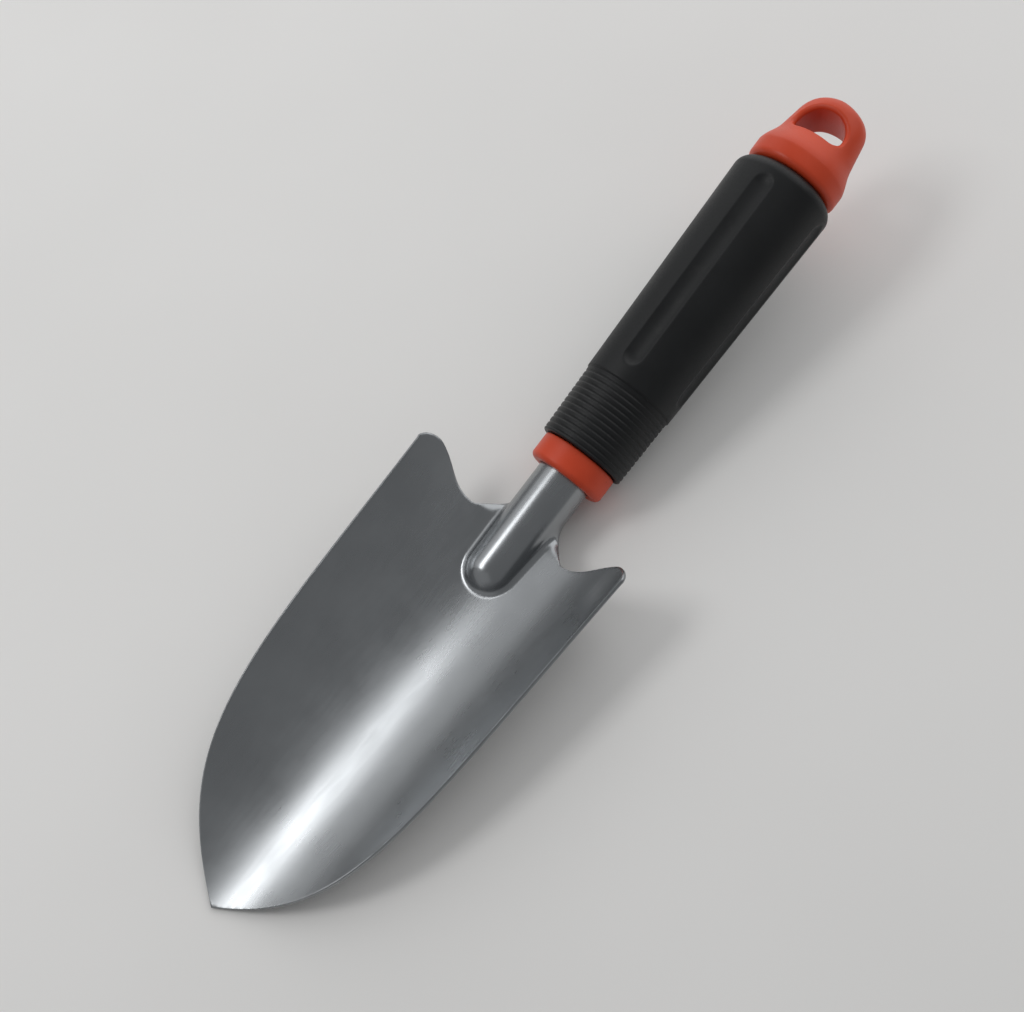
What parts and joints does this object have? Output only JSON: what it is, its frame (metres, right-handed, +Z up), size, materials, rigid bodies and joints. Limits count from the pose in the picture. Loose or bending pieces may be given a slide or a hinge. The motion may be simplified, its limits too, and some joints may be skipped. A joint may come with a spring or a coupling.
{
  "type": "garden hand trowel",
  "caption": "Hand trowel: pointed, trough-shaped steel blade with swept shoulders and a pressed neck, on a ribbed and fluted grip with a collar and a hanging loop.",
  "frame": {"origin": "centre of the bounding box in plan, on the ground that the tool rests on with its tip and the front of its grip", "axes": "+X from the blade's tip towards the hanging loop, +Z up, with the blade's hollow side up"},
  "size_m": [0.3088, 0.0816, 0.0491],
  "materials": {
    "blade_steel": "satin, pressed and plated",
    "pin_steel": "plain, hidden",
    "orange_plastic": "satin moulded",
    "core_plastic": "plain, hidden",
    "black_rubber": "matt moulded"
  },
  "bodies": {
    "root": {"blade": "blade_steel", "tang_pin": "pin_steel", "front_collar": "orange_plastic", "handle_core": "core_plastic", "grip_sleeve": "black_rubber", "end_cap": "orange_plastic"}
  },
  "joints": []
}
